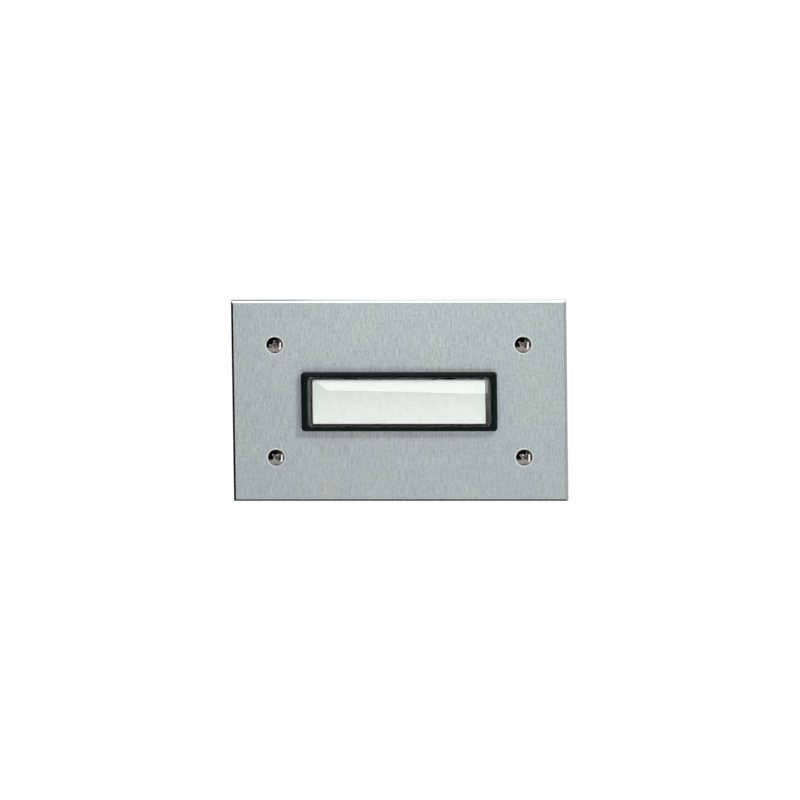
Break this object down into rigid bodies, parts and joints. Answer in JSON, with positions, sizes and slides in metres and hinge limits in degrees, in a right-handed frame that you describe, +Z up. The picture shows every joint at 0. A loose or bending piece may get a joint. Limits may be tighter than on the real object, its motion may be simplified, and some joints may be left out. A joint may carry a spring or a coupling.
{
  "type": "doorbell plate",
  "caption": "Bevelled aluminium doorbell plate with a wide name-plate push button in a black frame, fixed by raised countersunk screws, with contacts behind it.",
  "frame": {"origin": "centre of the four screws on the wall plane, which is the back of the foam gasket", "axes": "+Z up, +X to the right seen from the street, +Y into the wall, so the push button faces -Y"},
  "size_m": [0.11, 0.0201, 0.0666],
  "materials": {
    "brushed_plate": "brushed and clear anodised, with a bevelled edge",
    "screw_steel": "polished stainless steel",
    "bezel_black": "satin black moulding",
    "cap_clear": "clear polished polycarbonate",
    "label_card": "blank off-white card",
    "carrier_white": "plain white moulding",
    "housing_black": "fine-textured black moulding",
    "spring_steel": "drawn spring wire",
    "contact_bronze": "rolled phosphor bronze strip",
    "contact_silver": "silver rivet",
    "terminal_brass": "machined brass nut",
    "zinc_steel": "zinc-plated steel",
    "foam_black": "closed-cell foam"
  },
  "bodies": {
    "plate": {"face_plate": "brushed_plate", "plate_gasket": "foam_black", "bezel": "bezel_black", "rear_housing": "housing_black", "contact_leaf": "contact_bronze", "leaf_rivet": "contact_silver", "fixed_contact": "contact_bronze", "fixed_rivet": "contact_silver", "plate_screw_upper_left": "screw_steel", "plate_screw_upper_right": "screw_steel", "plate_screw_lower_left": "screw_steel", "plate_screw_lower_right": "screw_steel", "return_spring_left": "spring_steel", "return_spring_right": "spring_steel", "clamp_screw_left": "zinc_steel", "clamp_screw_right": "zinc_steel", "terminal_nut_left": "terminal_brass", "terminal_nut_right": "terminal_brass", "terminal_clamp_left": "zinc_steel", "terminal_clamp_right": "zinc_steel", "terminal_screw_left": "zinc_steel", "terminal_screw_right": "zinc_steel"},
    "button": {"clear_cap": "cap_clear", "name_label": "label_card", "label_carrier": "carrier_white"}
  },
  "joints": [
    {"name": "button_press", "type": "slide", "parent": "plate", "child": "button", "axis": [0, 1, 0], "range_m": [0, 0.0015], "stiffness_N_per_m": 1550, "springref_m": -0.001, "deforming": ["return_spring_left", "return_spring_right", "contact_leaf", "leaf_rivet"]}
  ]
}
